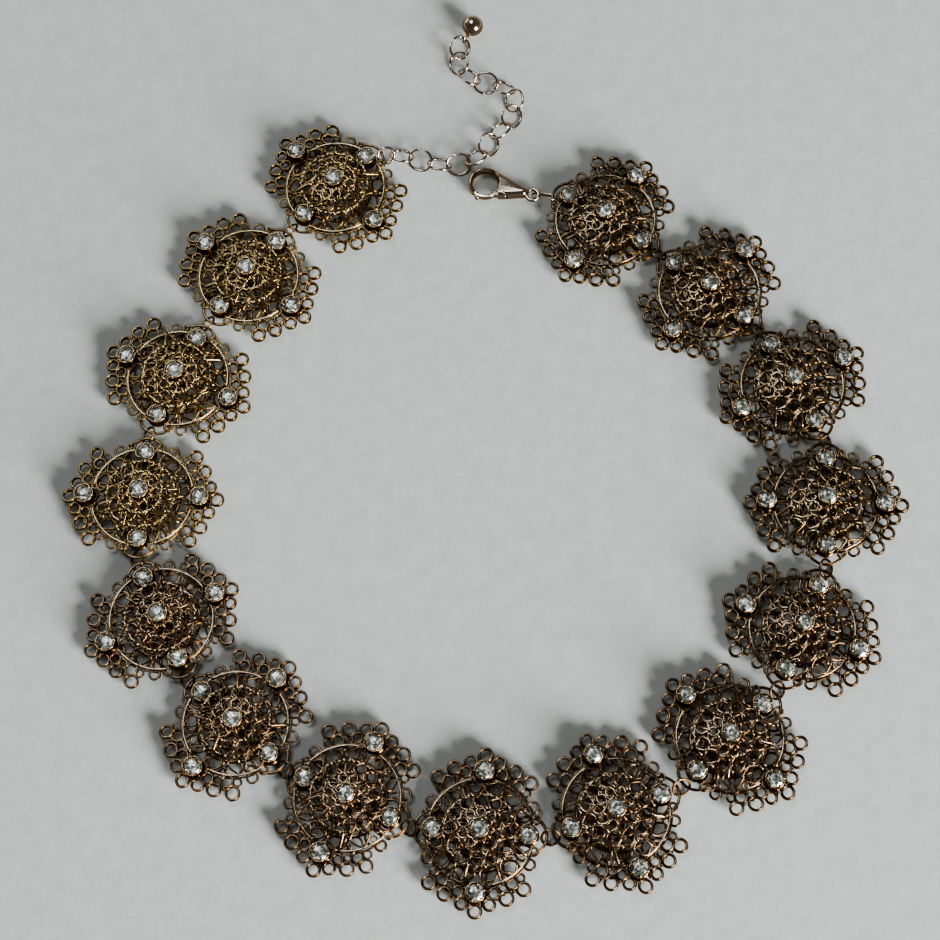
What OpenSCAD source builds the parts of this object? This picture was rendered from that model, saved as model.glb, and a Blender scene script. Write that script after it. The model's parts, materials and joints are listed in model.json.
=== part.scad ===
// Collar necklace: fifteen hinged filigree medallions with round crystals, jump rings between
// them, a lobster clasp at one end and an extension chain with a ball at the other.
// Millimetres, +Z up. The necklace lies flat on its back, clasp towards +Y.
// The origin is under the middle of its outline, on the surface it lies on.

/* [Medallions] */
// Distance between neighbouring medallions along the chain
pitch = 24.5; // [24.4:0.1:24.8]
// Radius of the solid middle of the base plate
plate_r = 10.1; // [10:0.1:10.3]
// Thickness of the base plate
plate_t = 0.6; // [0.4:0.1:0.7]
// Height of the underside of the base plate above the table
plate_z = 1.1; // [1.1:0.1:1.2]
// Radius of the domed rosette
dome_r = 9.5; // [9.2:0.1:9.6]
// Height of the domed rosette
dome_h = 3.1; // [2.6:0.1:3.3]
// Wall thickness of the rosette
dome_t = 0.5; // [0.4:0.1:0.6]
// Width of the wire that the loops are bent from
loop_wire = 0.38; // [0.3:0.02:0.42]

/* [Crystals] */
// Radius of a crystal
stone_r = 1.55; // [1.45:0.05:1.55]
// Outer radius of a crystal's setting
cup_r = 1.85; // [1.8:0.05:1.85]
// Height of a setting
cup_h = 1.76; // [1.6:0.02:1.9]
// Distance of the two chain-side crystals from the middle of a medallion
stone_along = 8.3; // [8.2:0.1:8.4]
// Distance of the two edge crystals from the middle of a medallion
stone_across = 10.7; // [10.6:0.1:10.8]

/* [Rings and chain] */
// Radius of the jump ring wire
ring_wire = 0.25; // [0.2:0.01:0.25]
// Radius of a jump ring, to the middle of its wire
ring_r = 1.6; // [1.55:0.05:1.6]
// Radius of the extension chain wire
link_wire = 0.23; // [0.2:0.01:0.23]
// Radius of a chain link's ends, to the middle of its wire
link_r = 2.0; // [1.9:0.05:2.05]
// Radius of the ball at the end of the extension chain
ball_r = 2.05; // [1.9:0.05:2.2]

/* [Clasp] */
// Outer radius of the hook end of the clasp
hook_r = 3.3; // [3.2:0.1:3.4]
// Length from the eye to the middle of the hook
clasp_l = 9.4; // [9.3:0.1:9.5]
// Thickness of the clasp
clasp_t = 2.4; // [2.3:0.1:2.4]
// Radius of the lever's pin
pin_r = 0.34; // [0.3:0.01:0.34]

/* [Hidden] */
$fn = 48;
count = 15;

// Direction of travel at each medallion, in degrees, as the necklace lies
heading = [226, 232, 246, 268, 295, 318, 335, 356, 381, 405, 427, 448, 477, 499, 505];

// Direction of each chain link from the first medallion outwards: four single links,
// then the extension in groups of three, three, two and two
link_heading = [-13, -17, -12, 10, 36, 62, 45, 62, 102, 150, 176, 136, 112, 62];
single_links = 4;
tail_groups = [[5, 6, 7], [8, 9, 10], [11, 12], [13, 14]];
end_ring_heading = 15;
ball_heading = 60;
clasp_ring_heading = 172;
clasp_heading = 165;

// Loops on one edge of a medallion: distance across, distance along, radius
edge_loops = [
    [13.8, 0, 1.45],
    [12.5, 2.4, 1.1],
    [11, 5.3, 1.3],
    [9.2, 7.9, 1.25],
    [10.6, 3.1, 1.05],
    [8, 6.4, 1.05],
];

// The big end loop is round the chain-side crystal
end_loop_r = 3.6;
end_loop_band = 0.45;
island_r = 2;
bridge_l = 3.5;
bridge_w = 1.6;

// Pierced holes of plate and rosette: radius of the row, radius of the hole, angles
plate_rows = [
    [7.4, 0.85, [for (side = [90, 270], k = [-2:2]) side + 18 * k]],
    [3.7, 0.9, [for (k = [0:7]) 22.5 + 45 * k]],
];
dome_rows = [
    [7.5, 1, [for (side = [90, 270], k = [-2.5:1:2.5]) side + 19 * k]],
    [4.6, 0.85, [for (k = [0:9]) 18 + 36 * k]],
];

rivet_r = 0.55;
foot_r = 1;
gap = 0.04;
plate_top = plate_z + plate_t;
plate_mid = plate_z + plate_t / 2;
dome_z = plate_top + gap;
dome_top = dome_z + dome_h;
dome_sphere = (dome_r * dome_r + dome_h * dome_h) / (2 * dome_h);
dome_centre = dome_top - dome_sphere;
crystal_spots = [
    [0, 0, dome_top + gap],
    [stone_along, 0, plate_top + gap],
    [-stone_along, 0, plate_top + gap],
    [0, stone_across, plate_top + gap],
    [0, -stone_across, plate_top + gap],
];
cup_floor = 0.66;
claw_r = 0.2;
claw_h = 0.3;

// Heights of a crystal's girdle and table above its point, and the table's share of its radius
girdle_low = 0.72;
girdle_high = 0.86;
table_h = 1.4;
table_part = 0.58;

// A ring crosses its neighbour this far from the middle of the end loop
ring_cross = 2.35;
ring_tilt = 45;
link_tilt = 35;
link_half = 2.25;
link_overlap = 0.36;
chain_z = 1.3;
clasp_ring_r = 1.4;
clasp_ring_half = 2.4;
eye_r = 1.15;
eye_wire = 0.33;
neck_x = 2;
neck_r = 1.05;
opening_r = 2.4;
pivot = [5.3, 1.4];
hub_r = 0.75;
hub_clear = 0.95;
fork_gap = 1.4;
lever_t = 1.3;
lever_bore = 0.38;
lever_outer = 3.2;
lever_inner = 2.45;
gate_r = 5.85;
gate_clear = 0.1;
pin_clear = 0.01;
tab_r = 0.42;
tab_angle = 76;
tab_sink = 0.05;

// Corners of the gate's opening, the lever's slot, and the lever's gate and arm, from above
gate_corners = [[clasp_l, 0], [clasp_l + 6, 5], [6.3, 5.2], [6.3, 0.4]];
slot_corners = [[5.3, 0.45], [7.6, -1.2], [7.6, 3.6], [5.3, 2.35]];
lever_corners = [[clasp_l, 0], [clasp_l + 6, 5], [6.2, 5], [6.2, 1]];
arm_corners = [[5.2, 0.67], [7.28, 1.15], [7.2, 2.3], [5.2, 2.13]];

spring_r = 0.56;
spring_wire = 0.12;
spring_pitch = 1.7 * spring_wire;
ball_eye_r = 0.85;
ball_eye_wire = 0.22;
ball_sink = 0.15;
far = 30;

function dir(a) = [cos(a), sin(a)];
function two(i) = i < 10 ? str("0", i) : str(i);
function walk(step, turns, i) =
    i == 0 ? [0, 0] : walk(step, turns, i - 1) + step / 2 * (dir(turns[i - 1]) + dir(turns[i]));
function across(i) = dir(heading[i] + 90);

raw_centre = [for (i = [0:count - 1]) walk(pitch, heading, i)];
raw_end_ring = raw_centre[0] - stone_along * dir(heading[0])
    + (ring_cross + ring_r) * dir(end_ring_heading);
raw_first_link = raw_end_ring + (ring_r - link_overlap) * dir(end_ring_heading)
    + (link_half - link_overlap) * dir(link_heading[0]);
link_pitch = 2 * (link_half - link_overlap);
raw_link = [for (i = [0:len(link_heading) - 1]) raw_first_link + walk(link_pitch, link_heading, i)];
last_link = len(link_heading) - 1;
raw_ball_eye = raw_link[last_link] + (link_half - link_overlap) * dir(link_heading[last_link])
    + (ball_eye_r - link_overlap) * dir(ball_heading);
raw_ball = raw_ball_eye + (ball_eye_r + ball_r - ball_sink) * dir(ball_heading);

// Outline of the whole necklace, to put the origin under its middle
rim = [
    for (i = [0:count - 1], side = [-1, 1], end = [-1, 1], loop = edge_loops)
        concat(raw_centre[i] + side * loop[0] * across(i) + end * loop[1] * dir(heading[i]), loop[2])
];
low_x = min([for (p = rim) p[0] - p[2]]);
high_x = max([for (p = rim) p[0] + p[2]]);
low_y = min([for (p = rim) p[1] - p[2]]);
high_y = raw_ball[1] + ball_r;
middle = [(low_x + high_x) / 2, (low_y + high_y) / 2];

centre = [for (p = raw_centre) p - middle];
end_ring_at = raw_end_ring - middle;
link_at = [for (p = raw_link) p - middle];
ball_eye_at = raw_ball_eye - middle;
ball_at = raw_ball - middle;
last_loop = centre[count - 1] + stone_along * dir(heading[count - 1]);
clasp_ring_at = last_loop + (ring_cross + clasp_ring_half) * dir(clasp_ring_heading);
eye_at = clasp_ring_at + clasp_ring_half * dir(clasp_ring_heading);

module at_medallion(i) {
    translate([centre[i - 1][0], centre[i - 1][1], 0])
        rotate(heading[i - 1])
            children();
}

// An oval wire link lying along X, turned by tilt about its own length
module wire_link(end_r, half, wire, tilt) {
    straight = half - end_r;
    rotate([tilt, 0, 0]) {
        for (turn = [0, 180])
            rotate(turn) {
                translate([straight, 0, 0])
                    rotate(-90)
                        rotate_extrude(angle = 180)
                            translate([end_r, 0])
                                circle(wire);
                if (straight > 0)
                    translate([-straight, end_r, 0])
                        rotate([0, 90, 0])
                            cylinder(r = wire, h = 2 * straight);
            }
    }
}

module round_ring(r, wire, tilt) {
    rotate([tilt, 0, 0])
        rotate_extrude()
            translate([r, 0])
                circle(wire);
}

module row_of_holes(rows) {
    for (row = rows, a = row[2])
        translate(row[0] * dir(a))
            circle(row[1]);
}

module edge_loop(spot) {
    translate([spot[1], spot[0]])
        difference() {
            circle(spot[2]);
            circle(spot[2] - loop_wire);
        }
}

module plate_outline() {
    difference() {
        union() {
            circle(plate_r);
            for (end = [-1, 1])
                translate([end * stone_along, 0])
                    circle(end_loop_r);
        }
        for (end = [-1, 1])
            translate([end * stone_along, 0])
                circle(end_loop_r - end_loop_band);
        row_of_holes(plate_rows);
        circle(rivet_r + gap);
    }
}

module crystal_island(end) {
    difference() {
        union() {
            translate([end * stone_along, 0])
                circle(island_r);
            translate([end * stone_along - (end > 0 ? bridge_l : 0), -bridge_w / 2])
                square([bridge_l, bridge_w]);
        }
        translate([end * stone_along, 0])
            circle(rivet_r + gap);
    }
}

module edge_island(side) {
    translate([0, side * stone_across])
        difference() {
            circle(island_r);
            circle(rivet_r + gap);
        }
}

module base_plate() {
    translate([0, 0, plate_z])
        linear_extrude(plate_t) {
            difference() {
                plate_outline();
                for (side = [-1, 1])
                    translate([0, side * stone_across])
                        circle(rivet_r + gap);
            }
            for (end = [-1, 1])
                crystal_island(end);
            for (side = [-1, 1])
                edge_island(side);
            for (loop = edge_loops, side = [-1, 1], end = loop[1] == 0 ? [1] : [-1, 1])
                edge_loop([side * loop[0], end * loop[1], loop[2]]);
        }
}

module rosette() {
    difference() {
        translate([0, 0, dome_centre])
            sphere(dome_sphere);
        translate([0, 0, dome_centre])
            sphere(dome_sphere - dome_t);
        translate([-far, -far, dome_z - 2 * far])
            cube(2 * far);
        linear_extrude(far) {
            row_of_holes(dome_rows);
            circle(rivet_r + gap);
            for (spot = crystal_spots)
                if (spot[2] < dome_top)
                    translate([spot[0], spot[1]])
                        circle(cup_r + 2 * claw_r);
        }
    }
}

// One setting: a cup with four claws, on a rivet tail that ends in a foot
module setting(spot) {
    translate([spot[0], spot[1], 0]) {
        difference() {
            translate([0, 0, spot[2]])
                cylinder(r = cup_r, h = cup_h);
            translate([0, 0, spot[2] + cup_floor])
                cylinder(r = stone_r + gap, h = cup_h);
        }
        for (a = [45:90:315])
            rotate(a)
                translate([cup_r - claw_r / 2, 0, spot[2] + gap])
                    cylinder(r = claw_r, h = cup_h + claw_h);
        cylinder(r = rivet_r, h = spot[2] + gap);
        cylinder(r = foot_r, h = plate_z - gap);
    }
}

module filigree(i) {
    color("darkgoldenrod")
        at_medallion(i) {
            base_plate();
            rosette();
            for (spot = crystal_spots)
                setting(spot);
        }
}

// Round brilliant: flat table, sloping crown, girdle, pavilion down to a point
module stone() {
    rotate_extrude()
        polygon([
            [0, 0],
            [stone_r, girdle_low],
            [stone_r, girdle_high],
            [stone_r * table_part, table_h],
            [0, table_h]
        ]);
}

module crystals(i) {
    color("lightsteelblue")
        at_medallion(i)
            for (spot = crystal_spots)
                translate([spot[0], spot[1], spot[2] + cup_floor + gap])
                    stone();
}

module jump_ring(i) {
    color("goldenrod")
        at_medallion(i)
            translate([pitch / 2, 0, plate_mid])
                rotate((heading[i] - heading[i - 1]) / 2)
                    round_ring(ring_r, ring_wire, ring_tilt);
}

module end_ring() {
    color("goldenrod")
        translate([end_ring_at[0], end_ring_at[1], plate_mid])
            rotate(end_ring_heading)
                round_ring(ring_r, ring_wire, ring_tilt);
}

module chain_link(i) {
    color("rosybrown")
        translate([link_at[i - 1][0], link_at[i - 1][1], chain_z])
            rotate(link_heading[i - 1])
                wire_link(link_r, link_half, link_wire, i % 2 == 1 ? -link_tilt : link_tilt);
}

module extension_links(g) {
    for (i = tail_groups[g - 1])
        chain_link(i);
}

module ball_end() {
    color("rosybrown") {
        translate([ball_at[0], ball_at[1], ball_r])
            sphere(ball_r);
        translate([ball_eye_at[0], ball_eye_at[1], chain_z])
            rotate(ball_heading)
                round_ring(ball_eye_r, ball_eye_wire, 90);
    }
}

module clasp_ring() {
    color("goldenrod")
        translate([clasp_ring_at[0], clasp_ring_at[1], plate_mid])
            rotate(clasp_ring_heading)
                wire_link(clasp_ring_r, clasp_ring_half, ring_wire, ring_tilt);
}

// The clasp lies along +X from its eye, which is at the origin of this frame
module at_clasp() {
    translate([eye_at[0], eye_at[1], plate_mid])
        rotate(clasp_heading)
            children();
}

module clasp_outline() {
    slope = acos((neck_r - hook_r) / (clasp_l - neck_x));
    hook = [clasp_l, 0];
    neck = [neck_x, 0];
    translate(hook)
        circle(hook_r);
    translate(neck)
        circle(neck_r);
    polygon([
        hook + hook_r * dir(slope),
        neck + neck_r * dir(slope),
        neck + neck_r * dir(-slope),
        hook + hook_r * dir(-slope)
    ]);
}

// The part of the hook's rim that the lever closes: the hook's end is an arc about the pin,
// so the lever's tip swings past it
module gate_gap() {
    intersection() {
        polygon(gate_corners);
        translate(pivot)
            circle(gate_r);
    }
}

module lever_slot() {
    translate(pivot)
        circle(hub_clear);
    polygon(slot_corners);
}

module clasp_body() {
    color("rosybrown")
        at_clasp() {
            difference() {
                translate([0, 0, -clasp_t / 2])
                    linear_extrude(clasp_t)
                        difference() {
                            clasp_outline();
                            translate([clasp_l, 0])
                                circle(opening_r);
                            gate_gap();
                            translate(pivot)
                                circle(pin_r + pin_clear);
                        }
                translate([0, 0, -fork_gap / 2])
                    linear_extrude(fork_gap)
                        lever_slot();
            }
            round_ring(eye_r, eye_wire, 0);
        }
}

module lever_outline() {
    difference() {
        union() {
            intersection() {
                translate([clasp_l, 0])
                    difference() {
                        circle(lever_outer);
                        circle(lever_inner);
                    }
                polygon(lever_corners);
                translate(pivot)
                    circle(gate_r - gate_clear);
            }
            translate([clasp_l, 0] + (hook_r - tab_sink) * dir(tab_angle))
                circle(tab_r);
            translate(pivot)
                circle(hub_r);
            polygon(arm_corners);
        }
        translate(pivot)
            circle(lever_bore);
    }
}

module clasp_lever() {
    color("rosybrown")
        at_clasp()
            difference() {
                translate([0, 0, -lever_t / 2])
                    linear_extrude(lever_t)
                        lever_outline();
                translate([pivot[0], pivot[1], -lever_t])
                    cylinder(r = hub_clear, h = lever_t + gate_clear);
            }
}

module clasp_pin() {
    color("silver")
        at_clasp()
            translate([pivot[0], pivot[1], -clasp_t / 2])
                cylinder(r = pin_r, h = clasp_t);
}

// Two touching turns of spring wire round the pin, under the lever's hub
module clasp_spring() {
    color("silver")
        at_clasp()
            translate([pivot[0], pivot[1], -fork_gap / 2 + spring_wire + gap])
                rotate_extrude()
                    translate([spring_r, 0]) {
                        circle(spring_wire);
                        translate([0, spring_pitch])
                            circle(spring_wire);
                    }
}

for (i = [1:count]) {
    filigree(i);
    crystals(i);
}
for (i = [1:count - 1])
    jump_ring(i);
for (i = [1:single_links])
    chain_link(i);
for (g = [1:len(tail_groups)])
    extension_links(g);
end_ring();
ball_end();
clasp_ring();
clasp_body();
clasp_lever();
clasp_pin();
clasp_spring();
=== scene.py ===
"""Collar necklace of filigree medallions: the visual model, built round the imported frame."""

import json
import math
import random

import bmesh
import bpy
import numpy as np
from mathutils import Matrix, Vector


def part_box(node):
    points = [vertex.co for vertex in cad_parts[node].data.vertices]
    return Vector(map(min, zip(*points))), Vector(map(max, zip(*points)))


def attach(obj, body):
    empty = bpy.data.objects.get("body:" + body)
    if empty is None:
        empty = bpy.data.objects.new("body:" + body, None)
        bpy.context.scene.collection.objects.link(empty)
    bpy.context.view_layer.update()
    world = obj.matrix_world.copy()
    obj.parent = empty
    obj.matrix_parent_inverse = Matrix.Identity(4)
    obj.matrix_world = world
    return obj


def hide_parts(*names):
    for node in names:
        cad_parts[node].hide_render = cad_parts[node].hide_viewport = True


MM = 0.001
WELD = 0.01 * MM
MEDALLIONS = 15

# Medallion, in millimetres: x runs along the chain, y across it, z up
PLATE_Z = 1.4
DOME_Z = 1.74
DOME_R = 9.5
DOME_H = 3.1
DOME_SPHERE = (DOME_R ** 2 + DOME_H ** 2) / (2 * DOME_H)
DOME_TOP = DOME_Z + DOME_H
STONE_ALONG = 8.3
STONE_ACROSS = 10.7
# The four outer stones, on the chain line and across it
OUTER_STONES = ((STONE_ALONG, 0), (-STONE_ALONG, 0), (0, STONE_ACROSS), (0, -STONE_ACROSS))
CUP_R = 1.85
CUP_H = 1.76
CUP_FLOOR = 0.66
STONE_R = 1.6
FOOT_H = 1.06
# Loops on one edge: distance across, distance along, radius
EDGE_LOOPS = [
    (13.68, 0, 1.42), (12.4, 2.5, 1.3), (11.1, 5.35, 1.42), (9.3, 8.2, 1.42),
    (10.4, 3.2, 1.2), (8.5, 6.2, 1.35),
]
END_LOOP_R = 3.3
END_LOOP_WIRE = 0.3
EDGE_WIRE = 0.28
FILLER_WIRE = 0.26
# Beads in the gaps of one quarter's edge loops: distance across, distance along, radius
EDGE_BEADS = ((12.6, 1.3, 0.34), (11.4, 3.9, 0.4), (9.8, 6.6, 0.42))
# Small rings behind the edge loops of one quarter: distance across, distance along
FILLER_RINGS = ((9.3, 4.6), (7.4, 7.5))
FILLER_RING_R = 0.72
FILLER_RING_WIRE = 0.24
# The ring between the end loop and the edge, and the beaded flower: distance along, across
SHOULDER_AT = (8.9, 5.0)
SHOULDER_R = 0.95
FLOWER_AT = (9.5, 2.75)
FLOWER_R = 0.72
FLOWER_LIFT = 0.35
PETALS = 5
PETAL_R = 0.27
PETAL_LIFT = 0.62
# Flat net: radius and wire of its hoops; then number, radius, ring size and wire of its rows
HOOPS = ((1.9, 0.5), (4.45, 0.42), (6.85, 0.42))
NET_ROWS = ((15, 8.25, 1.4, 0.25), (15, 5.65, 1.02, 0.36), (9, 3.2, 0.98, 0.36))
NET_RIM_R = 9.75
NET_RIM_WIRE = 0.22
# Half the angle left open in the rim at each end of the medallion
NET_RIM_BREAK = 0.42
# A bar of the net, as distances along and across its two ends
NET_BAR = ((4.2, 0.8), (7, 0.7))
NET_BAR_WIRE = 0.3
# Small rings beside the net in one quarter: distance along, distance across, radius, wire
CORNER_RINGS = ((4.6, 9.6, 0.9, 0.26), (2.3, 9.0, 0.8, 0.25))
# Half section of the pad under an outer cup: radius, height
PAD = [(0, -0.28), (1.95, -0.28), (2.02, 0), (1.95, 0.28), (0, 0.28)]
# Dome: radius and wire of its hoops, and how near to a setting its cells may come
DOME_HOOPS = ((6.3, 0.19), (3.95, 0.18))
CELL_CLEARANCE = 1.9
OUTER_CELLS = 12
MIDDLE_CELLS = 12
INNER_CELLS = 10
OUTER_CELL_TIP = 9.3
SHORT_CELL_TIP = 8.6
CELL_WIRE = 0.19
MIDDLE_CELL_WIRE = 0.2
# Beads on the dome: number, offset, radius of the row, lift, size
BEAD_ROWS = ((12, 0.5, 6.35, 0.3, 0.4), (12, 0.5, 4.05, 0.42, 0.38), (10, 0.0, 2.35, 0.42, 0.4))
DOME_RIM_GAP = 0.2
# Half sections of a cup and of its rivet's foot: radius, height
CUP = [
    (0, 0.0), (1.5, 0.0), (1.7, 0.16), (1.62, 0.5), (1.66, 0.95), (1.78, CUP_H - 0.5),
    (1.8, CUP_H - 0.12), (1.72, CUP_H - 0.02), (1.63, CUP_H - 0.1), (1.62, CUP_FLOOR + 0.3),
    (1.3, CUP_FLOOR), (0, CUP_FLOOR),
]
FOOT = [(0, 0), (0.92, 0), (1.0, 0.1), (0.95, FOOT_H - 0.12), (0.55, FOOT_H)]
TAIL_R = 0.5
# A claw up the cup's side and over the stone's edge: radius, height, wire
CLAW_BEND = (
    (CUP_R - 0.1, 0.9, 0.16), (CUP_R - 0.04, 1.4, 0.17), (1.7, CUP_H + 0.06, 0.17),
    (1.45, CUP_H + 0.2, 0.15), (1.25, CUP_H + 0.24, 0.1),
)
RIBS = 8
RIB_STARTS = (3.4, 4.4, 5.8, 6.2)
RIB_LENGTHS = (2.4, 3.1)
RIB_WIRE = 0.25
CLAWS = 6
STONE_SIDES = 8
# Rows of a stone's corners: radius, height, turn in steps of a side
STONE_ROWS = (
    (0.02, 0.02, 0.0), (STONE_R - 0.02, 0.62, 0.0), (STONE_R, 0.84, 0.5),
    (STONE_R * 0.86, 1.12, 0.0), (STONE_R * 0.6, 1.34, 0.5), (STONE_R * 0.34, 1.4, 0.0),
)
STONE_TIP = 1.42
# Section of a filigree wall, across and up, in halves of its width: a flat worn top, deep sides
WALL = ((1, 0.2), (0.6, 0.8), (-0.6, 0.8), (-1, 0.2), (-0.75, -2.4), (0.75, -2.4))
# Section of a rib: the same worn top, shallow sides
RIB = WALL[:4] + ((-1, -0.6), (1, -0.6))

# Rings, chain and clasp, in millimetres
RING_R = 1.6
RING_WIRE = 0.25
RING_TILT = 45
LINK_R = 2.0
LINK_HALF = 2.25
LINK_WIRE = 0.235
LINK_TILT = 35
LINK_OVERLAP = 0.36
# Half the hairline gap between a link's wire ends, as an angle
BUTT_GAP = 0.014
WIRE_STEPS = 56
WIRE_SIDES = 12
CHAIN_Z = 1.3
LINK_HEADING = [-13, -17, -12, 10, 36, 62, 45, 62, 102, 150, 176, 136, 112, 62]
LINK_BODIES = (
    ["chain_link_1", "chain_link_2", "chain_link_3", "chain_link_4"]
    + ["extension_1"] * 3 + ["extension_2"] * 3 + ["extension_3"] * 2 + ["extension_4"] * 2
)
BALL_HEADING = 60
BALL_R = 2.05
BALL_EYE_R = 0.85
BALL_EYE_WIRE = 0.22
BALL_EYE_STEPS = 40
# The neck between eye and ball: distance from the eye's centre, radius
BALL_NECK = ((0.7, 0.34), (1.0, 0.5), (1.3, 0.62))
END_RING_HEADING = 15
CLASP_RING_HEADING = 172
CLASP_RING_R = 1.4
CLASP_RING_HALF = 2.4
CLASP_HEADING = 165
CLASP_L = 9.4
CLASP_T = 2.4
HOOK_R = 3.3
OPENING_R = 2.4
NECK_X = 2
NECK_R = 1.05
EYE_R = 1.15
EYE_WIRE = 0.33
PIVOT = (5.3, 1.4)
GATE_R = 5.85
FORK_GAP = 1.4
LEVER_T = 1.3
LEVER_OUTER_R = 3.2
LEVER_INNER_R = 2.45
HEEL_R = 0.74
# Half section of the hook's opening, flared towards both faces: radius, height
OPENING_FLARE = ((2.95, 1.4), (2.75, 1.1), (OPENING_R + 0.05, 0.6))
# Corners of the gate's opening and of the fork's slot, from above
GATE_START = [(6.3, 0.8), (7.2, 0.6), (CLASP_L, 0.4)]
GATE_END = [(6.3, 5.2)]
FORK = [(4.4, 0.5), (5.3, 0.4), (7.6, -1.2), (7.6, 3.6), (5.3, 3.4), (4.4, 2.3)]
TAB_ANGLE = 76
# Half sections of the thumb tab and of the pin: radius, height
TAB = [(0, -0.62), (0.34, -0.58), (0.44, -0.3), (0.46, 0), (0.44, 0.3), (0.34, 0.58), (0, 0.62)]
PIN = [
    (0, -CLASP_T / 2), (0.3, -CLASP_T / 2), (0.36, -CLASP_T / 2 + 0.08), (0.34, 0),
    (0.36, CLASP_T / 2 - 0.08), (0.3, CLASP_T / 2), (0, CLASP_T / 2),
]
SPRING_R = 0.56
SPRING_WIRE = 0.08
SPRING_TURNS = 2.5
SPRING_STEPS = 70
# Edges of the clasp sharper than this, in degrees, stay sharp
SHARP_EDGE = 50

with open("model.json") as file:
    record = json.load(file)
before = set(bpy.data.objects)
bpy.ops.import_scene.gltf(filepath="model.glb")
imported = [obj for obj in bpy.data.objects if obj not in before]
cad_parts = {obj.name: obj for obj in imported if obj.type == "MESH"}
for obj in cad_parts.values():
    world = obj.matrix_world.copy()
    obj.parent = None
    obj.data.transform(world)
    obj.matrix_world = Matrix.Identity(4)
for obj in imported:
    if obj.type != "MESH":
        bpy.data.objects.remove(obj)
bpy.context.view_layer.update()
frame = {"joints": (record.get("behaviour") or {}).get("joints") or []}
rng = random.Random(7)


def heading_vector(degrees):
    a = math.radians(degrees)
    return np.array([math.cos(a), math.sin(a), 0.0])


def joint_pos(name):
    """Where a joint of the frame is, in millimetres."""
    for joint in frame["joints"]:
        if joint["name"] == name:
            return np.array(joint["pos_m"]) / MM
    raise ValueError(name)


# ---------------------------------------------------------------- mesh building

class Shape:
    """Collects tubes, beads and lathed forms, then becomes one mesh object."""

    def __init__(self):
        self.verts = []
        self.faces = []
        self.flat = []
        # Painted reflection values, one for each face of a stone
        self.glint_tones = []
        self.total = 0

    def add(self, verts, faces, flat=False):
        self.verts.append(np.asarray(verts, float))
        self.faces.extend([tuple(i + self.total for i in face) for face in faces])
        self.flat.extend([flat] * len(faces))
        self.total += len(verts)

    def tube(self, points, radius, closed=False, up=(0, 0, 1), sides=7, tall=1.0, section=None):
        """A wire along points: round, stretched towards up by tall, or with a section of its own."""
        p = np.asarray(points, float)
        n = len(p)
        if closed:
            tangent = np.roll(p, -1, 0) - np.roll(p, 1, 0)
        else:
            tangent = np.gradient(p, axis=0)
        tangent /= np.linalg.norm(tangent, axis=1)[:, None]
        side = np.cross(np.broadcast_to(np.asarray(up, float), p.shape), tangent)
        side /= np.linalg.norm(side, axis=1)[:, None]
        top = np.cross(tangent, side)
        r = np.broadcast_to(np.asarray(radius, float), (n,))
        if section is None:
            angles = np.arange(sides) * 2 * math.pi / sides
            section = np.stack([np.cos(angles), np.sin(angles) * tall], 1)
        section = np.asarray(section, float)
        sides = len(section)
        ring = (
            p[:, None]
            + (r[:, None] * section[:, 0])[..., None] * side[:, None]
            + (r[:, None] * section[:, 1])[..., None] * top[:, None]
        )
        verts = ring.reshape(-1, 3)
        faces = []
        for i in range(n if closed else n - 1):
            a, b = i * sides, ((i + 1) % n) * sides
            for k in range(sides):
                m = (k + 1) % sides
                faces.append((a + k, a + m, b + m, b + k))
        if not closed:
            ends = [p[0] - tangent[0] * r[0] * 0.6, p[-1] + tangent[-1] * r[-1] * 0.6]
            verts = np.vstack([verts, ends])
            first, last = n * sides, (n - 1) * sides
            for k in range(sides):
                m = (k + 1) % sides
                faces.append((m, k, first))
                faces.append((last + k, last + m, first + 1))
        self.add(verts, faces)

    def lathe(self, profile, centre, steps):
        """Turns (radius, height) points about the vertical through centre."""
        angles = np.arange(steps) * 2 * math.pi / steps
        rows, verts = [], []
        for radius, height in profile:
            if radius < 1e-6:
                rows.append([len(verts)] * steps)
                verts.append((centre[0], centre[1], centre[2] + height))
                continue
            rows.append(list(range(len(verts), len(verts) + steps)))
            for a in angles:
                verts.append((
                    centre[0] + radius * math.cos(a),
                    centre[1] + radius * math.sin(a),
                    centre[2] + height,
                ))
        faces = []
        for low, high in zip(rows, rows[1:]):
            for k in range(steps):
                m = (k + 1) % steps
                face = list(dict.fromkeys((low[k], low[m], high[m], high[k])))
                if len(face) > 2:
                    faces.append(tuple(face))
        self.add(verts, faces)

    def bead(self, centre, radius, rows=5, steps=9):
        profile = [
            (radius * math.sin(math.pi * k / rows), -radius * math.cos(math.pi * k / rows))
            for k in range(rows + 1)
        ]
        profile[0] = (0, -radius)
        profile[-1] = (0, radius)
        self.lathe(profile, centre, steps)

    def to_object(self, name, material, matrix=None):
        mesh = bpy.data.meshes.new(name)
        mesh.from_pydata((np.vstack(self.verts) * MM).tolist(), [], self.faces)
        mesh.polygons.foreach_set("use_smooth", [not flat for flat in self.flat])
        # Per-facet painted reflection values, read by the crystal glass
        if self.glint_tones:
            facet_glint = mesh.attributes.new("facet_glint", "FLOAT", "FACE")
            facet_glint.data.foreach_set("value", self.glint_tones)
        mesh.update()
        mesh.materials.append(material)
        if matrix is not None:
            mesh.transform(matrix)
        obj = bpy.data.objects.new(name, mesh)
        bpy.context.scene.collection.objects.link(obj)
        return obj


def place(centre, degrees, tilt=0):
    """Matrix for a local frame in millimetres whose x axis points along a heading."""
    return (
        Matrix.Translation(Vector(centre) * MM)
        @ Matrix.Rotation(math.radians(degrees), 4, "Z")
        @ Matrix.Rotation(math.radians(tilt), 4, "X")
    )


def finish_piece(obj, body, slot, *nodes):
    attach(obj, body)
    if nodes:
        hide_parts(*nodes)


# ---------------------------------------------------------------- outlines

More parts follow.
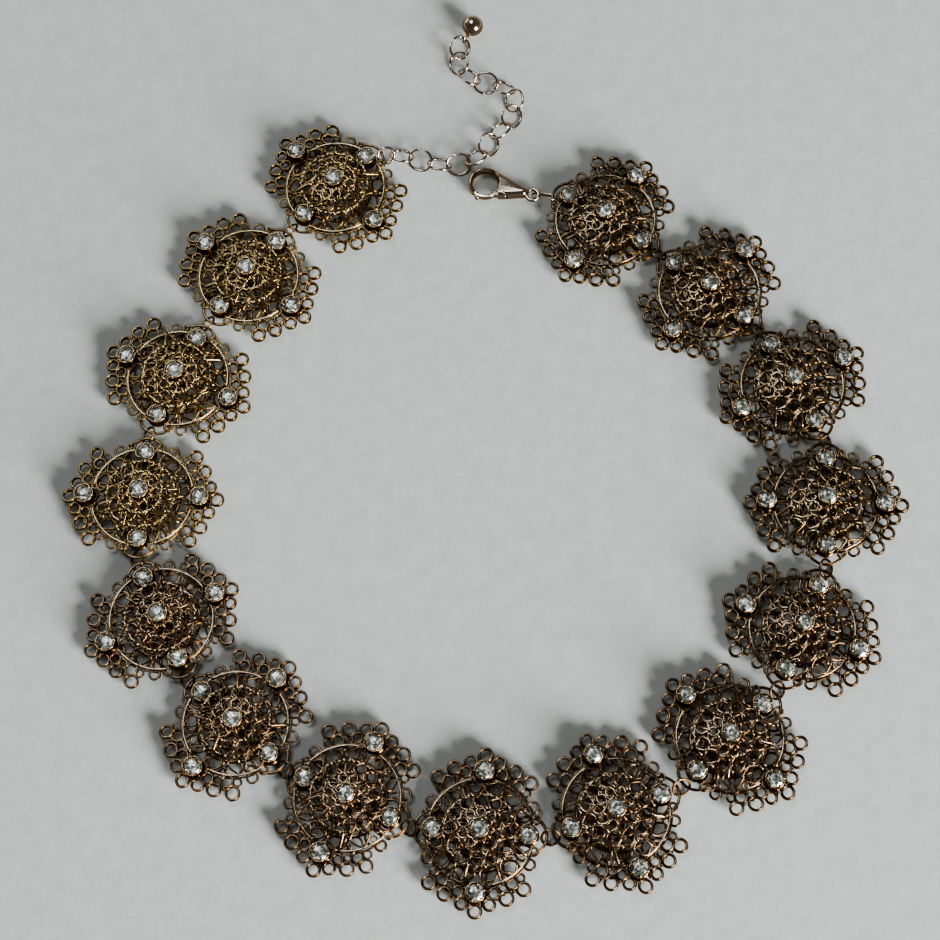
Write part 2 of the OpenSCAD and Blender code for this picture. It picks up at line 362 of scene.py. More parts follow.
def circle(centre, radius, z, steps=18, stretch=1.0, turn=0.0, start=0.0, sweep=2 * math.pi):
    """Points round a circle or oval; an arc when sweep is less than a full turn."""
    closed = abs(sweep - 2 * math.pi) < 1e-6
    t = start + sweep * np.arange(steps) / (steps if closed else steps - 1)
    x, y = radius * stretch * np.cos(t), radius * np.sin(t)
    c, s = math.cos(turn), math.sin(turn)
    return np.stack([
        centre[0] + c * x - s * y, centre[1] + s * x + c * y, np.full(len(t), float(z)),
    ], 1)


def dome_z(x, y, lift=0.0):
    r2 = np.minimum(x * x + y * y, DOME_R ** 2)
    return DOME_TOP - DOME_SPHERE + np.sqrt(DOME_SPHERE ** 2 - r2) + lift


def on_dome(points, lift=0.0):
    p = points.copy()
    p[:, 2] = dome_z(p[:, 0], p[:, 1], lift)
    return p


def leaf(angle, inner, outer, half_width, point=0.75, steps=9):
    """A leaf-shaped cell between two radii, its tip towards the rim."""
    t = np.linspace(0, 1, steps)
    r = inner + (outer - inner) * t
    w = half_width * np.sin(math.pi * t ** point)
    left = np.stack([r, w, 0 * t], 1)
    right = np.stack([r[::-1], -w[::-1], 0 * t], 1)[1:-1]
    p = np.vstack([left, right])
    c, s = math.cos(angle), math.sin(angle)
    return np.stack([p[:, 0] * c - p[:, 1] * s, p[:, 0] * s + p[:, 1] * c, p[:, 2]], 1)


def ring_of(count, offset=0.0):
    return [2 * math.pi * (k + offset) / count for k in range(count)]


def polar(radius, angle):
    return np.array([radius * math.cos(angle), radius * math.sin(angle)])


def jitter(size):
    return rng.uniform(-size, size)


def near_cup(p, reach):
    """Whether a point is under or against one of the four outer settings."""
    return any(math.dist(p[:2], spot) < reach for spot in OUTER_STONES)


# ---------------------------------------------------------------- materials

def new_material(name):
    material = bpy.data.materials.new(name)
    material.use_nodes = True
    nodes = material.node_tree.nodes
    return material, nodes, material.node_tree.links, nodes["Principled BSDF"]


def ramp(nodes, stops):
    node = nodes.new("ShaderNodeValToRGB")
    while len(node.color_ramp.elements) < len(stops):
        node.color_ramp.elements.new(0.5)
    for element, (position, colour) in zip(node.color_ramp.elements, stops):
        element.position = position
        element.color = (*colour, 1)
    return node


def noise(nodes, links, coordinate, scale, detail=4.0, roughness=0.6):
    node = nodes.new("ShaderNodeTexNoise")
    node.inputs["Scale"].default_value = scale
    node.inputs["Detail"].default_value = detail
    node.inputs["Roughness"].default_value = roughness
    links.new(coordinate, node.inputs["Vector"])
    return node


def mix_colour(nodes, links, factor, first, second, blend="MIX"):
    node = nodes.new("ShaderNodeMix")
    node.data_type = "RGBA"
    node.blend_type = blend
    links.new(factor, node.inputs[0])
    for value, socket in ((first, node.inputs[6]), (second, node.inputs[7])):
        if isinstance(value, tuple):
            socket.default_value = (*value, 1)
        else:
            links.new(value, socket)
    return node.outputs[2]


def scaled(nodes, links, value, low, high):
    node = nodes.new("ShaderNodeMapRange")
    links.new(value, node.inputs["Value"])
    node.inputs["To Min"].default_value = low
    node.inputs["To Max"].default_value = high
    return node.outputs["Result"]


def math_node(nodes, links, operation, *values):
    node = nodes.new("ShaderNodeMath")
    node.operation = operation
    for value, socket in zip(values, node.inputs):
        if isinstance(value, float):
            socket.default_value = value
        else:
            links.new(value, socket)
    return node.outputs[0]


def bump(nodes, links, height, strength, distance):
    node = nodes.new("ShaderNodeBump")
    node.inputs["Strength"].default_value = strength
    node.inputs["Distance"].default_value = distance
    links.new(height, node.inputs["Height"])
    return node


# Noise scales, in cycles per metre: patina patches, metal grain, cloudiness of glass, cloth
PATCH_SCALE = 620
GRAIN_SCALE = 1900
CLOUD_SCALE = 900
WEAVE_SCALE = 260
GRAIN_HEIGHT = 0.06 * MM
WEAVE_HEIGHT = 0.3 * MM
# How level a surface is where its tone is dark, middle and bright: a painted shade on sloping sides, a
# painted highlight on level faces
TONE_STOPS = (0.38, 0.78, 0.95)
# How strongly the painted shade darkens the lowest parts of a medallion
DEEP_SHADE = 0.85
EDGE_TINT = (0.88, 0.71, 0.5, 1)


def plated_metal(name, bright, middle, dark, patina, roughness, depth=None, grain_depth=0.25):
    """Plated metal: a painted highlight on level faces, a painted shade on its sides, and patches of
    patina.

    depth, in millimetres, is the pair of heights between which a painted shade on a medallion's low
    parts fades out.
    Faces turned downwards get none of this painted shade.
    """
    material, nodes, links, shader = new_material(name)
    coordinate = nodes.new("ShaderNodeTexCoord")
    split = nodes.new("ShaderNodeSeparateXYZ")
    links.new(coordinate.outputs["Normal"], split.inputs[0])
    # Painted highlight and shade: faces turned straight up or down take the bright colour, sloping
    # sides the dark one.
    tone = ramp(nodes, list(zip(TONE_STOPS, (dark, middle, bright))))
    links.new(math_node(nodes, links, "ABSOLUTE", split.outputs["Z"]), tone.inputs["Fac"])
    cloud = noise(nodes, links, coordinate.outputs["Object"], PATCH_SCALE, 5, 0.7)
    patch = ramp(nodes, [(0.4, (0, 0, 0)), (0.6, (1, 1, 1))])
    links.new(cloud.outputs["Fac"], patch.inputs["Fac"])
    amount = scaled(nodes, links, patch.outputs["Color"], 0.0, patina)
    colour = mix_colour(nodes, links, amount, tone.outputs["Color"], dark)
    # Painted shade: upward faces low in a medallion, under its dome, darken towards the dark colour.
    if depth:
        place_z = nodes.new("ShaderNodeSeparateXYZ")
        links.new(coordinate.outputs["Object"], place_z.inputs[0])
        height = nodes.new("ShaderNodeMapRange")
        links.new(place_z.outputs["Z"], height.inputs["Value"])
        height.inputs["From Min"].default_value = depth[0] * MM
        height.inputs["From Max"].default_value = depth[1] * MM
        height.inputs["To Min"].default_value = DEEP_SHADE
        height.inputs["To Max"].default_value = 0.0
        front = math_node(nodes, links, "GREATER_THAN", split.outputs["Z"], 0.0)
        painted_shade = math_node(nodes, links, "MULTIPLY", height.outputs["Result"], front)
        colour = mix_colour(nodes, links, painted_shade, colour, dark)
    links.new(colour, shader.inputs["Base Color"])
    grain = noise(nodes, links, coordinate.outputs["Object"], GRAIN_SCALE, 3)
    links.new(
        scaled(nodes, links, cloud.outputs["Fac"], roughness * 0.6, roughness * 1.5),
        shader.inputs["Roughness"],
    )
    relief = bump(nodes, links, grain.outputs["Fac"], grain_depth, GRAIN_HEIGHT)
    links.new(relief.outputs["Normal"], shader.inputs["Normal"])
    shader.inputs["Metallic"].default_value = 1.0
    shader.inputs["Specular Tint"].default_value = EDGE_TINT
    return material


def crystal_glass(name):
    """Foil-backed glass: each facet gets a painted reflection of its own, from dark to a white painted
    glint, under a clear gloss.
    """
    material, nodes, links, shader = new_material(name)
    facet_glint = nodes.new("ShaderNodeAttribute")
    facet_glint.attribute_name = "facet_glint"
    coordinate = nodes.new("ShaderNodeTexCoord")
    # Painted reflections: dark facets, mid greys and rare white painted glints
    tone = ramp(nodes, [
        (0.0, (0.035, 0.042, 0.034)), (0.3, (0.085, 0.096, 0.082)), (0.6, (0.18, 0.198, 0.17)),
        (0.82, (0.36, 0.38, 0.34)), (0.92, (0.95, 0.95, 0.9)),
    ])
    links.new(facet_glint.outputs["Fac"], tone.inputs["Fac"])
    cloud = noise(nodes, links, coordinate.outputs["Object"], CLOUD_SCALE, 2)
    shade = ramp(nodes, [(0.35, (0.72, 0.735, 0.7)), (0.65, (1, 1, 0.98))])
    links.new(cloud.outputs["Fac"], shade.inputs["Fac"])
    colour = mix_colour(nodes, links, scaled(nodes, links, facet_glint.outputs["Fac"], 0.8, 0.4),
                        tone.outputs["Color"], shade.outputs["Color"], "MULTIPLY")
    links.new(colour, shader.inputs["Base Color"])
    links.new(scaled(nodes, links, cloud.outputs["Fac"], 0.05, 0.2), shader.inputs["Roughness"])
    shader.inputs["Metallic"].default_value = 0.5
    shader.inputs["Coat Weight"].default_value = 1.0
    shader.inputs["Coat Roughness"].default_value = 0.02
    shader.inputs["IOR"].default_value = 1.6
    return material


def cloth_floor(name):
    material, nodes, links, shader = new_material(name)
    coordinate = nodes.new("ShaderNodeTexCoord")
    weave = noise(nodes, links, coordinate.outputs["Object"], WEAVE_SCALE, 4)
    tone = ramp(nodes, [(0.3, (0.405, 0.432, 0.415)), (0.7, (0.47, 0.497, 0.478))])
    links.new(weave.outputs["Fac"], tone.inputs["Fac"])
    links.new(tone.outputs["Color"], shader.inputs["Base Color"])
    shader.inputs["Roughness"].default_value = 0.95
    relief = bump(nodes, links, weave.outputs["Fac"], 0.3, WEAVE_HEIGHT)
    links.new(relief.outputs["Normal"], shader.inputs["Normal"])
    return material


# Heights, in millimetres, over which the painted shade on a medallion's low parts fades out
RECESS_SHADE_DEPTH = (1.3, 3.8)
ANTIQUE = [
    plated_metal("antique_gold_yellow", (0.95, 0.73, 0.37), (0.33, 0.19, 0.04),
                 (0.055, 0.023, 0.003), 0.75, 0.17, RECESS_SHADE_DEPTH),
    plated_metal("antique_gold_brown", (0.92, 0.69, 0.45), (0.16, 0.077, 0.022),
                 (0.034, 0.012, 0.0025), 0.85, 0.17, RECESS_SHADE_DEPTH),
    plated_metal("antique_gold_dull", (0.92, 0.71, 0.45), (0.18, 0.097, 0.028),
                 (0.032, 0.014, 0.0025), 0.85, 0.17, RECESS_SHADE_DEPTH),
]
# Worn gold for the beads, ribs and rim: lighter than the antique gold, partly for real wear and partly
# as a painted highlight.
WORN_SHEEN = [
    plated_metal("worn_sheen_gold_yellow", (0.95, 0.76, 0.45), (0.38, 0.235, 0.08),
                 (0.06, 0.03, 0.008), 0.45, 0.13),
    plated_metal("worn_sheen_gold_brown", (0.92, 0.73, 0.51), (0.24, 0.13, 0.05),
                 (0.04, 0.018, 0.006), 0.6, 0.13),
]
CLAW = plated_metal("claw_gold", (0.84, 0.62, 0.35), (0.32, 0.185, 0.075), (0.17, 0.09, 0.034),
                    0.4, 0.14)
BRIGHT = plated_metal("bright_gold", (0.84, 0.70, 0.56), (0.50, 0.38, 0.275),
                      (0.12, 0.078, 0.05), 0.1, 0.13, grain_depth=0.02)
STEEL = plated_metal("spring_wire", (0.62, 0.62, 0.62), (0.4, 0.4, 0.4), (0.12, 0.12, 0.12),
                     0.3, 0.25)
CRYSTAL = crystal_glass("crystal_glass")
FLOOR = cloth_floor("pale_cloth")


def antique_for(index):
    """The first medallions are yellower, the front ones browner, the last ones duller."""
    if index <= 4:
        return ANTIQUE[0]
    return ANTIQUE[1] if index <= 11 else ANTIQUE[2]


# The lighter worn gold, partly a painted highlight, in a yellow and a brown tone
def worn_sheen_for(index):
    return WORN_SHEEN[0] if index <= 4 else WORN_SHEEN[1]


# ---------------------------------------------------------------- medallion

def edge_loops():
    """Two nested rows of scallop loops on each long edge, and the plain loop at each end."""
    shape = Shape()
    for side in (-1, 1):
        for across, along, radius in EDGE_LOOPS:
            for end in (-1, 1) if along else (1,):
                centre = (end * along + jitter(0.14), side * across + jitter(0.08))
                stretch, turn = 1 + jitter(0.07), jitter(1.5)
                wire = EDGE_WIRE + jitter(0.02)
                shape.tube(circle(centre, radius - wire, PLATE_Z + jitter(0.1), 24,
                                  stretch, turn), wire, True, sides=10, tall=2.2)
        for end in (-1, 1):
            for across, along, radius in EDGE_BEADS:
                shape.bead((end * along, side * across, PLATE_Z + 0.16), radius)
            for across, along in FILLER_RINGS:
                ring = circle((end * along, side * across), FILLER_RING_R, PLATE_Z - 0.1, 14)
                shape.tube(ring, FILLER_RING_WIRE, True)
            shoulder = (end * SHOULDER_AT[0], side * SHOULDER_AT[1])
            shape.tube(circle(shoulder, SHOULDER_R, PLATE_Z, 16), FILLER_WIRE, True)
            flower = (end * FLOWER_AT[0], side * FLOWER_AT[1])
            shape.tube(circle(flower, FLOWER_R, PLATE_Z + FLOWER_LIFT, 16), FILLER_WIRE, True)
            for angle in ring_of(PETALS, 0.3):
                spot = polar(FLOWER_R, angle) + flower
                shape.bead((*spot, PLATE_Z + PETAL_LIFT), PETAL_R, 4, 7)
    for end in (-1, 1):
        centre = (end * STONE_ALONG, 0)
        shape.tube(circle(centre, END_LOOP_R, PLATE_Z, 44), END_LOOP_WIRE, True, sides=10)
    return shape


def base_net():
    """The flat net of touching rings that fills the medallion under its dome."""
    shape = Shape()
    for end in (-1, 1):
        shape.lathe(PAD, (end * STONE_ALONG, 0, PLATE_Z), 20)
        shape.lathe(PAD, (0, end * STONE_ACROSS, PLATE_Z), 20)
        for side in (-1, 1):
            bar = [(end * along, side * across, PLATE_Z) for along, across in NET_BAR]
            shape.tube(bar, NET_BAR_WIRE)
            for along, across, radius, wire in CORNER_RINGS:
                spot = (end * along, side * across)
                shape.tube(circle(spot, radius, PLATE_Z, 16), wire, True)
    for radius, width in HOOPS:
        shape.tube(circle((0, 0), radius, PLATE_Z, 60), width, True, tall=0.6)
    for start in (NET_RIM_BREAK, math.pi + NET_RIM_BREAK):
        arc = circle((0, 0), NET_RIM_R, PLATE_Z, 40, start=start,
                     sweep=math.pi - 2 * NET_RIM_BREAK)
        shape.tube(arc, NET_RIM_WIRE, sides=8)
    for count, radius, ring, width in NET_ROWS:
        for angle in ring_of(count, jitter(0.3)):
            spot = polar(radius, angle)
            height = PLATE_Z + jitter(0.05)
            shape.tube(circle(spot, ring, height, 18), width, True, tall=0.7)
    return shape


def rosette():
    """Domed filigree: three rows of arched cells, like a rose window."""
    shape = Shape()
    for radius, width in DOME_HOOPS:
        shape.tube(on_dome(circle((0, 0), radius, 0, 60), 0.1), width, True, section=WALL)
    for angle in ring_of(OUTER_CELLS, 0.5):
        angle += jitter(0.05)
        if near_cup(polar(7.6, angle), CELL_CLEARANCE):
            continue
        short = near_cup(polar(9.2, angle), CELL_CLEARANCE)
        tip = SHORT_CELL_TIP if short else OUTER_CELL_TIP + jitter(0.1)
        cell = leaf(angle, 6.2, tip, 1.75 + jitter(0.16), 0.8, 12)
        shape.tube(on_dome(cell, 0.16), CELL_WIRE, True, section=WALL)
        spot = polar(8.85, angle + 0.26)
        if not near_cup(spot, 2.5):
            shape.tube(on_dome(circle(spot, 0.5, 0, 12), 0.12), 0.16, True, section=WALL)
    for angle in ring_of(MIDDLE_CELLS):
        cell = leaf(angle + jitter(0.05), 3.85, 6.6, 1.2 + jitter(0.12), 0.85, 11)
        shape.tube(on_dome(cell, 0.26), MIDDLE_CELL_WIRE, True, section=WALL)
    for angle in ring_of(INNER_CELLS, 0.5):
        cell = leaf(angle, 1.95, 4.1, 0.8 + jitter(0.06), 1.0, 10)
        shape.tube(on_dome(cell, 0.3), CELL_WIRE, True, section=WALL)
    return shape


def granulation():
    """The rosette's rim, the beads at the joints of its cells and the flat ribs soldered on top."""
    shape = Shape()
    sweep = math.pi / 2 - 2 * DOME_RIM_GAP
    for quarter in range(4):
        start = quarter * math.pi / 2 + DOME_RIM_GAP
        arc = circle((0, 0), DOME_R - 0.12, 0, 22, start=start, sweep=sweep)
        shape.tube(on_dome(arc, 0.16), 0.2, sides=9)
    for count, offset, radius, lift, size in BEAD_ROWS:
        for angle in ring_of(count, offset):
            spot = polar(radius + jitter(0.15), angle + jitter(0.05))
            shape.bead((*spot, dome_z(*spot) + lift), size + jitter(0.08))
    for angle in ring_of(RIBS, jitter(0.5)):
        inner = rng.choice(RIB_STARTS)
        angle += jitter(0.12)
        bend = jitter(0.05)
        radii = np.linspace(inner, inner + rng.choice(RIB_LENGTHS), 7)
        line = np.array([[*polar(r, angle + bend * (r - inner)), 0] for r in radii])
        if not near_cup(line[-1], 2.3):
            shape.tube(on_dome(line, 0.42), RIB_WIRE, section=RIB)
    return shape


def crystal_spots():
    """Where the five cups stand: one on top of the dome, four on the plate."""
    return [(0, 0, DOME_TOP + 0.04)] + [(x, y, PLATE_Z + 0.34) for x, y in OUTER_STONES]


def settings():
    """Five cups with claws, each on a rivet tail with a flat foot."""
    shape = Shape()
    for x, y, z in crystal_spots():
        shape.lathe(CUP, (x, y, z), 28)
        shape.lathe(FOOT + [(TAIL_R, z), (0, z)], (x, y, 0), 16)
        for angle in ring_of(CLAWS, 0.25):
            claw = np.array([[*(polar(r, angle) + (x, y)), z + h] for r, h, _ in CLAW_BEND])
            outwards = (math.cos(angle), math.sin(angle), 0.6)
            shape.tube(claw, [wire for _, _, wire in CLAW_BEND], up=outwards, sides=7)
    return shape


def stones():
    """Five round cut stones: pavilion, girdle, two rows of crown facets and a low star table."""
    shape = Shape()
    sides, rows = STONE_SIDES, STONE_ROWS
    for x, y, z in crystal_spots():
        base = z + CUP_FLOOR + 0.04
        turn = rng.uniform(0, math.pi)
        verts, index = [], []
        for radius, height, shift in rows:
            index.append(list(range(len(verts), len(verts) + sides)))
            for k in range(sides):
                px, py = polar(radius, turn + 2 * math.pi * (k + shift) / sides)
                verts.append((x + px, y + py, base + height))
        faces = [tuple(reversed(index[0]))]
        for row in range(len(rows) - 1):
            low, high = index[row], index[row + 1]
            step = 1 if rows[row][2] > rows[row + 1][2] else 0
            for k in range(sides):
                m = (k + 1) % sides
                c, d = high[(k + step) % sides], high[(m + step) % sides]
                faces.append((low[k], low[m], c))
                faces.append((low[m], d, c))
        verts.append((x, y, base + STONE_TIP))
        for k in range(sides):
            faces.append((index[-1][k], index[-1][(k + 1) % sides], len(verts) - 1))
        shape.add(verts, faces, True)
        # A random painted reflection for each facet, which the crystal glass turns into a tone from
        # dark to a white glint
        shape.glint_tones.extend(rng.random() for _ in faces)
    return shape


def build_medallion(i, where):
    """The pieces of one medallion, each named after the function that shapes it."""
    pieces = (
        (edge_loops, antique_for(i), "antique_gold", (f"filigree_{i:02d}",)),
        (base_net, antique_for(i), "antique_gold", ()),
        (rosette, antique_for(i), "antique_gold", ()),
        (granulation, worn_sheen_for(i), "antique_gold", ()),
        (settings, CLAW, "antique_gold", ()),
        (stones, CRYSTAL, "crystal", (f"crystals_{i:02d}",)),
    )
    for form, material, slot, nodes in pieces:
        piece = form().to_object(f"{form.__name__}_{i:02d}", material, where)
        finish_piece(piece, f"medallion_{i:02d}", slot, *nodes)


def build_medallions():
    """Places every medallion on its crystals in the frame, and gives back their headings."""
    centres, headings = [], []
    for i in range(1, MEDALLIONS + 1):
        low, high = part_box(f"crystals_{i:02d}")
        middle = (low + high) / 2
        centres.append(np.array([middle.x, middle.y, 0]) / MM)
    for i, centre in enumerate(centres):
        tip = joint_pos(f"swivel_{min(i + 1, MEDALLIONS - 1):02d}") - centre
        if i == MEDALLIONS - 1:
            tip = -tip
        headings.append(math.degrees(math.atan2(tip[1], tip[0])))
    for i, (centre, degrees) in enumerate(zip(centres, headings), 1):
        build_medallion(i, place(centre, degrees))
    return headings


# ---------------------------------------------------------------- rings and chain

def oval_wire(end_r, half, wire):
    """A wire link with the butt joint of its ends left as a hairline gap."""
    straight = half - end_r
    t = np.linspace(math.pi / 2 + BUTT_GAP, 2.5 * math.pi - BUTT_GAP, WIRE_STEPS)
    x = end_r * np.cos(t) + straight * np.sign(np.round(np.cos(t), 6))
    points = np.stack([x, end_r * np.sin(t), 0 * t], 1)
    shape = Shape()
    shape.tube(points, wire, sides=WIRE_SIDES)
    return shape


def build_rings(headings):
    for i in range(1, MEDALLIONS):
        middle = joint_pos(f"swivel_{i:02d}")
        before, after = heading_vector(headings[i - 1]), heading_vector(headings[i])
        along = before + after
        where = place(middle, math.degrees(math.atan2(along[1], along[0])), RING_TILT)
        ring = oval_wire(RING_R, RING_R, RING_WIRE).to_object(
            f"jump_ring_{i:02d}_wire", antique_for(i), where)
        finish_piece(ring, f"jump_ring_{i:02d}", "antique_gold", f"jump_ring_{i:02d}")
    start = joint_pos("link_1_swivel") - (RING_R - LINK_OVERLAP) * heading_vector(END_RING_HEADING)
    start[2] = PLATE_Z
    ring = oval_wire(RING_R, RING_R, RING_WIRE).to_object(
        "end_ring_wire", BRIGHT, place(start, END_RING_HEADING, RING_TILT))
    finish_piece(ring, "end_ring", "bright_gold", "end_ring")
    eye = joint_pos("clasp_swivel")
    middle = eye - CLASP_RING_HALF * heading_vector(CLASP_RING_HEADING)
    ring = oval_wire(CLASP_RING_R, CLASP_RING_HALF, RING_WIRE).to_object(
        "clasp_ring_wire", BRIGHT, place(middle, CLASP_RING_HEADING, RING_TILT))
    finish_piece(ring, "clasp_ring", "bright_gold", "clasp_ring")


def build_chain():
    reach = LINK_HALF - LINK_OVERLAP
    joint = joint_pos("link_1_swivel")
    replaced = {}
    for i, (degrees, body) in enumerate(zip(LINK_HEADING, LINK_BODIES)):
        middle = joint + reach * heading_vector(degrees)
        joint = middle + reach * heading_vector(degrees)
        middle[2] = CHAIN_Z
        tilt = LINK_TILT if i % 2 else -LINK_TILT
        link = oval_wire(LINK_R, LINK_HALF, LINK_WIRE).to_object(
            f"link_{i + 1:02d}_wire", BRIGHT, place(middle, degrees, tilt))
        node = body.replace("extension_", "extension_links_")
        first = node not in replaced
        replaced[node] = True
        finish_piece(link, body, "bright_gold", *([node] if first else []))
    return joint


def build_ball(joint):
    shape = Shape()
    eye = joint + (BALL_EYE_R - LINK_OVERLAP) * heading_vector(BALL_HEADING)
    ball = eye + (BALL_EYE_R + BALL_R - 0.15) * heading_vector(BALL_HEADING)
    shape.bead((ball[0], ball[1], BALL_R), BALL_R, 32, 48)
    c, s = heading_vector(BALL_HEADING)[:2]
    t = np.arange(BALL_EYE_STEPS) * 2 * math.pi / BALL_EYE_STEPS
    ring = np.stack([
        eye[0] + BALL_EYE_R * np.cos(t) * c, eye[1] + BALL_EYE_R * np.cos(t) * s,
        CHAIN_Z + BALL_EYE_R * np.sin(t),
    ], 1)
    shape.tube(ring, BALL_EYE_WIRE, True, up=(-s, c, 0), sides=12)
    neck = [eye + d * heading_vector(BALL_HEADING) for d, _ in BALL_NECK]
    neck = [(p[0], p[1], CHAIN_Z + 0.1 * k) for k, p in enumerate(neck)]
    shape.tube(neck, [radius for _, radius in BALL_NECK], sides=14)
    obj = shape.to_object("end_ball", BRIGHT)
    finish_piece(obj, "ball_end", "bright_gold", "ball_end")


# ---------------------------------------------------------------- clasp

def arc_points(centre, radius, start, end, steps):
    """Points on an arc between two angles in degrees, either way round."""
    return [
        (centre[0] + radius * math.cos(math.radians(a)), centre[1] + radius * math.sin(math.radians(a)))
        for a in np.linspace(start, end, steps)
    ]


def rounded_slab(name, outline, thickness, edge, material, where):
    """A flat form with a rounded edge all round: a filled outline, bevelled."""
    curve = bpy.data.curves.new(name, "CURVE")
    curve.dimensions = "2D"
    curve.fill_mode = "BOTH"
    curve.extrude = (thickness / 2 - edge) * MM
    curve.bevel_depth = edge * MM
    curve.bevel_resolution = 5
    curve.offset = -edge * MM
    spline = curve.splines.new("POLY")
    spline.points.add(len(outline) - 1)
    for point, (x, y) in zip(spline.points, outline):
        point.co = (x * MM, y * MM, 0, 1)
    spline.use_cyclic_u = True
    raw = bpy.data.objects.new(name + "_raw", curve)
    bpy.context.scene.collection.objects.link(raw)
    bpy.context.view_layer.update()
    mesh = bpy.data.meshes.new_from_object(raw)
    bpy.data.objects.remove(raw)
    tidy = bmesh.new()
    tidy.from_mesh(mesh)
    bmesh.ops.remove_doubles(tidy, verts=tidy.verts, dist=WELD)
    bmesh.ops.recalc_face_normals(tidy, faces=tidy.faces)
    tidy.to_mesh(mesh)
    tidy.free()
    mesh.transform(where)
    mesh.materials.clear()
    mesh.materials.append(material)
    obj = bpy.data.objects.new(name, mesh)
    bpy.context.scene.collection.objects.link(obj)
    mesh.shade_smooth()
    mesh.set_sharp_from_angle(angle=math.radians(SHARP_EDGE))
    return obj


def body_outline():
    """The clasp from above, as a plain teardrop: its round end is the hook."""
    slope = math.degrees(math.acos((NECK_R - HOOK_R) / (CLASP_L - NECK_X)))
    outer = arc_points((CLASP_L, 0), HOOK_R, slope, -slope, 44)
    return outer + arc_points((NECK_X, 0), NECK_R, -slope, -360 + slope, 14)


def lever_outline():
    """The gate from above: an arm from the pin, then an arc that ends just short of the hook."""
    hook = (CLASP_L, 0)
    outer = arc_points(hook, LEVER_OUTER_R, 62, 138, 18)
    heel = arc_points(PIVOT, HEEL_R, 100, 262, 12)
    inner = arc_points(hook, LEVER_INNER_R, 152, 47, 20)
    return outer + heel + inner


def cut(obj, tool):
    """Takes the tool's solid out of obj."""
    modifier = obj.modifiers.new("cut", "BOOLEAN")
    modifier.operation = "DIFFERENCE"
    modifier.solver = "EXACT"
    modifier.object = tool
    bpy.context.view_layer.update()
    result = bpy.data.meshes.new_from_object(
        obj.evaluated_get(bpy.context.evaluated_depsgraph_get()))
    obj.modifiers.clear()
    obj.data = result
    bpy.data.objects.remove(tool)
    result.shade_smooth()
    result.set_sharp_from_angle(angle=math.radians(SHARP_EDGE))


def build_clasp():
    eye = joint_pos("clasp_swivel")
    where = place((eye[0], eye[1], PLATE_Z), CLASP_HEADING)
    body = rounded_slab("clasp_shell", body_outline(), CLASP_T, 0.95, BRIGHT, where)
    opening = Shape()
    below = [(r, -z) for r, z in OPENING_FLARE]
    above = list(reversed(OPENING_FLARE))
    face = OPENING_FLARE[0][1]
    profile = [(0, -face)] + below + [(OPENING_R, 0)] + above + [(0, face)]
    opening.lathe(profile, (CLASP_L, 0, 0), 56)
    cut(body, opening.to_object("opening", BRIGHT, where))
    tip = arc_points(PIVOT, GATE_R, 10, 60, 12)
    gate = GATE_START + tip + GATE_END
    cut(body, rounded_slab("gate", gate, CLASP_T + 1, 0.02, BRIGHT, where))
    cut(body, rounded_slab("slot", FORK, FORK_GAP, 0.02, BRIGHT, where))
    finish_piece(body, "clasp", "bright_gold", "clasp_body")
    ring = Shape()
    ring.tube(circle((0, 0), EYE_R, 0, 40), EYE_WIRE + 0.07, True, sides=14)
    ring.tube([(1.1, 0, 0), (1.6, 0, 0), (2.2, 0, 0)], [0.42, 0.62, 0.8], sides=16)
    finish_piece(ring.to_object("clasp_eye", BRIGHT, where), "clasp", "bright_gold")
    lever = rounded_slab("clasp_gate", lever_outline(), LEVER_T, 0.2, BRIGHT, where)
    finish_piece(lever, "clasp_lever", "bright_gold", "clasp_lever")
    tab = Shape()
    thumb = polar(HOOK_R - 0.05, math.radians(TAB_ANGLE)) + (CLASP_L, 0)
    tab.lathe(TAB, (*thumb, 0), 18)
    finish_piece(tab.to_object("clasp_thumb_tab", BRIGHT, where), "clasp_lever", "bright_gold")
    pin = Shape()
    pin.lathe(PIN, (*PIVOT, 0), 20)
    finish_piece(pin.to_object("clasp_pin_shaft", BRIGHT, where), "clasp", "bright_gold",
                 "clasp_pin")
    spring = Shape()
    turns = np.linspace(0, SPRING_TURNS * 2 * math.pi, SPRING_STEPS)
    coil = np.stack([PIVOT[0] + SPRING_R * np.cos(turns), PIVOT[1] + SPRING_R * np.sin(turns),
                     np.linspace(-0.52, -0.3, SPRING_STEPS)], 1)
    spring.tube(coil, SPRING_WIRE, sides=8)
    finish_piece(spring.to_object("clasp_spring_wire", STEEL, where), "clasp", "spring_steel",
                 "clasp_spring")


# ---------------------------------------------------------------- studio

CAMERA_AT = Vector((0.0148, -0.1482, 0.400))
CAMERA_TURN = (19.6, 2.3, 0.4)
CAMERA_LENS = 88.2
CAMERA_SENSOR = 36
CAMERA_NEAR = 0.01
FLOOR_SIZE = 3
WORLD_STRENGTH = 0.36
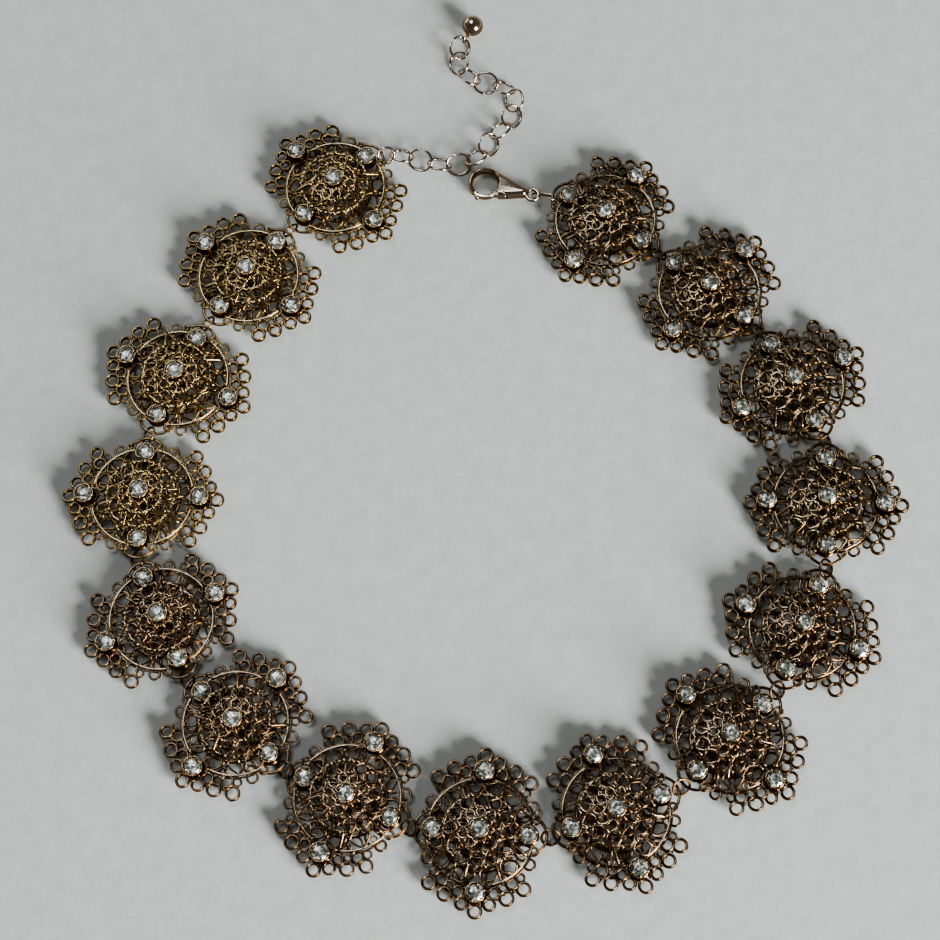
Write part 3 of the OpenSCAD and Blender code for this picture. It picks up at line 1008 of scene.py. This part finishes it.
# Studio lights: name, place, size, power, colour
LIGHTS = (
    ("key", (1.02, -1.07, 0.41), 0.7, 136.0, (0.975, 1.0, 1.0)),
    ("fill", (-1.3, 1.15, 0.32), 1.0, 5.0, (1.0, 0.985, 0.96)),
    ("top", (-0.2, 0.3, 0.85), 0.4, 2.6, (0.96, 0.985, 1.0)),
)


def build_world():
    """Soft room light: dark overhead, pale towards the horizon."""
    world = bpy.data.worlds.new("studio")
    world.use_nodes = True
    nodes, links = world.node_tree.nodes, world.node_tree.links
    coordinate = nodes.new("ShaderNodeTexCoord")
    split = nodes.new("ShaderNodeSeparateXYZ")
    links.new(coordinate.outputs["Generated"], split.inputs[0])
    tone = ramp(nodes, [
        (0.0, (0.68, 0.66, 0.61)), (0.08, (0.46, 0.42, 0.36)), (0.35, (0.33, 0.275, 0.21)),
        (0.7, (0.19, 0.152, 0.105)), (0.95, (0.08, 0.065, 0.045)),
    ])
    links.new(split.outputs["Z"], tone.inputs["Fac"])
    background = nodes["Background"]
    links.new(tone.outputs["Color"], background.inputs["Color"])
    background.inputs["Strength"].default_value = WORLD_STRENGTH
    bpy.context.scene.world = world


def build_studio():
    bpy.ops.mesh.primitive_plane_add(size=FLOOR_SIZE)
    floor = bpy.context.object
    floor.name = "floor"
    floor.data.materials.append(FLOOR)
    camera = bpy.data.objects.new("camera", bpy.data.cameras.new("camera"))
    bpy.context.scene.collection.objects.link(camera)
    camera.data.lens = CAMERA_LENS
    camera.data.sensor_width = CAMERA_SENSOR
    camera.data.clip_start = CAMERA_NEAR
    camera.location = CAMERA_AT
    camera.rotation_euler = [math.radians(a) for a in CAMERA_TURN]
    bpy.context.scene.camera = camera
    for light in LIGHTS:
        add_light(*light)
    build_world()


def add_light(name, location, size, power, colour):
    light = bpy.data.lights.new(name, "AREA")
    light.size = size
    light.energy = power
    light.color = colour
    obj = bpy.data.objects.new(name, light)
    bpy.context.scene.collection.objects.link(obj)
    obj.location = location
    obj.rotation_euler = (Vector((0, 0, 0)) - Vector(location)).to_track_quat("-Z", "Y").to_euler()


build_studio()
build_rings(build_medallions())
build_ball(build_chain())
build_clasp()
